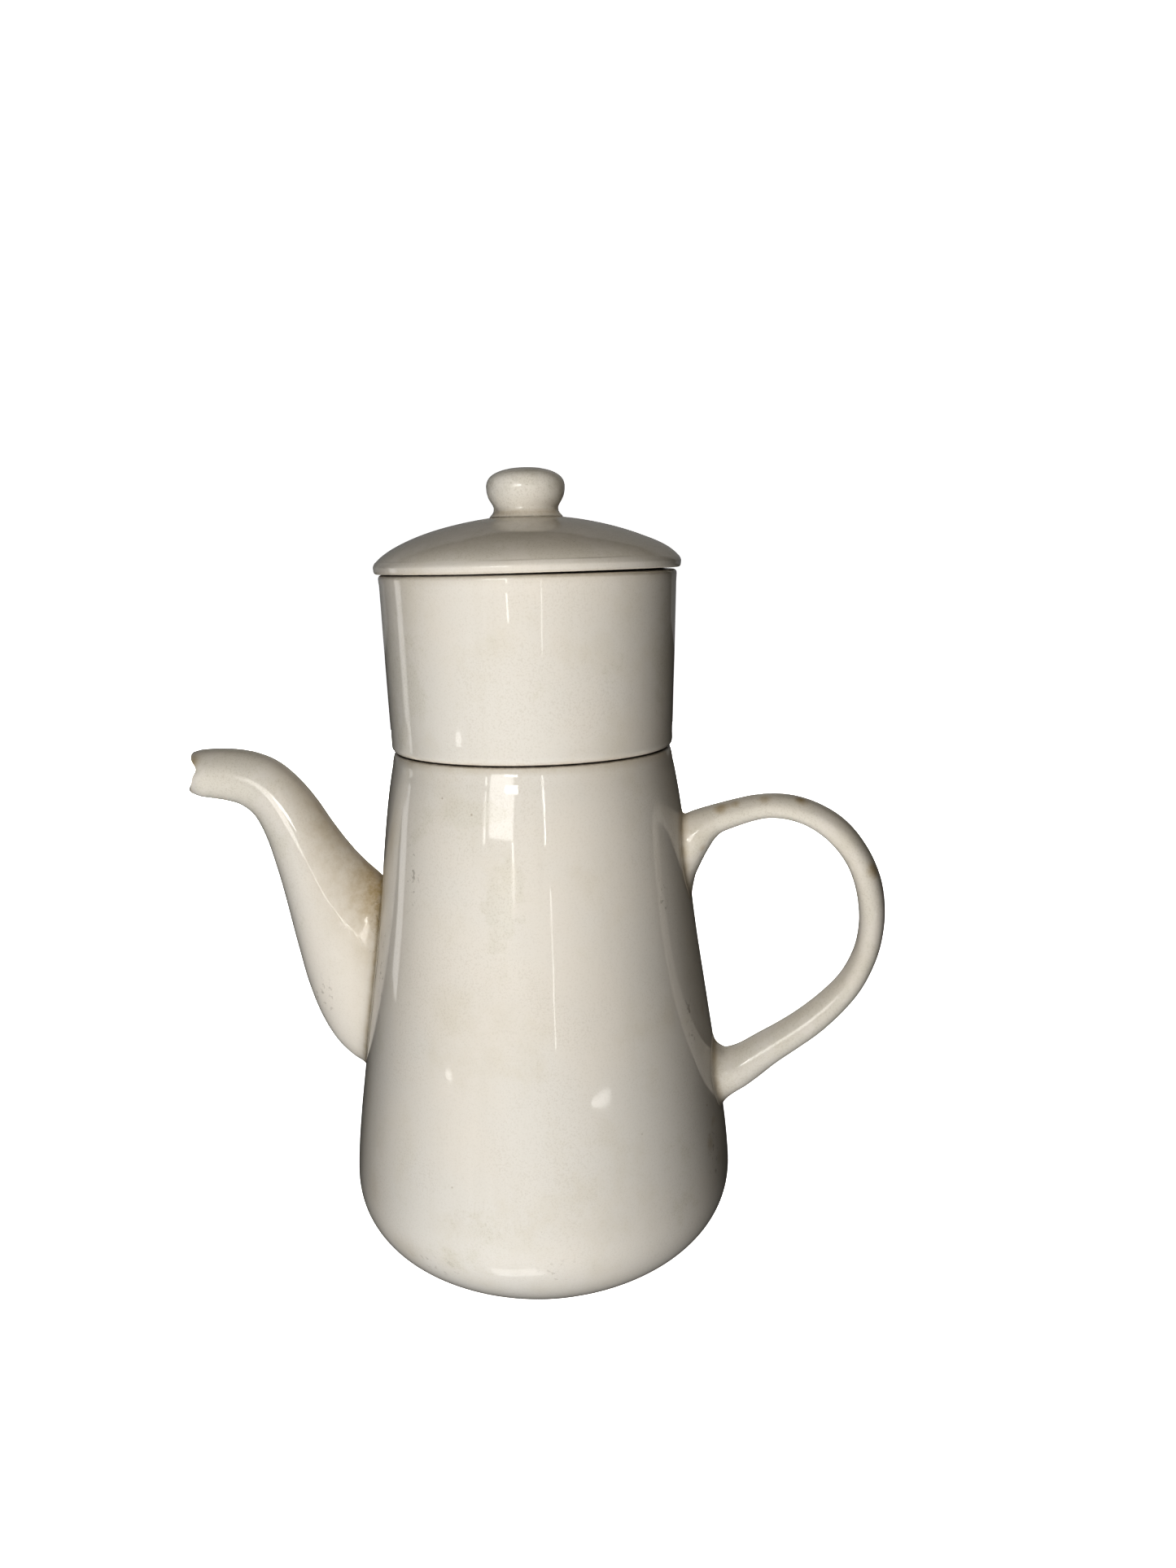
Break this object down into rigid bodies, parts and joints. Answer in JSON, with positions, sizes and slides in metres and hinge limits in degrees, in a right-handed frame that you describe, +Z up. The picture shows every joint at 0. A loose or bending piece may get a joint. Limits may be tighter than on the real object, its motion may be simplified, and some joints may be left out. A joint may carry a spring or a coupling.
{
  "type": "coffee pot",
  "caption": "Glazed ceramic drip coffee pot: tapered pot with spout and loop handle, lift-off filter chamber, perforated water spreader and domed lid with knob.",
  "frame": {"origin": "on the pot's own axis, on the flat of the foot ring it stands on", "axes": "+Z up along the pot's axis, +X towards the handle, -X towards the spout, +Y to the back"},
  "size_m": [0.2487, 0.1348, 0.2824],
  "materials": {
    "cream_glaze": "glossy cream glaze with light tea staining"
  },
  "bodies": {
    "pot": {"pot_body": "cream_glaze", "spout": "cream_glaze", "handle": "cream_glaze"},
    "filter": {"filter_chamber": "cream_glaze", "filter_floor": "cream_glaze"},
    "spreader": {"water_spreader": "cream_glaze", "spreader_knob": "cream_glaze"},
    "lid": {"lid": "cream_glaze", "lid_knob": "cream_glaze"}
  },
  "joints": [
    {"name": "filter_lift", "type": "slide", "parent": "pot", "child": "filter", "axis": [0, 0, 1], "range_m": [0, 0.06]},
    {"name": "spreader_lift", "type": "slide", "parent": "filter", "child": "spreader", "axis": [0, 0, 1], "range_m": [0, 0.09]},
    {"name": "lid_lift", "type": "slide", "parent": "spreader", "child": "lid", "axis": [0, 0, 1], "range_m": [0, 0.06]}
  ]
}
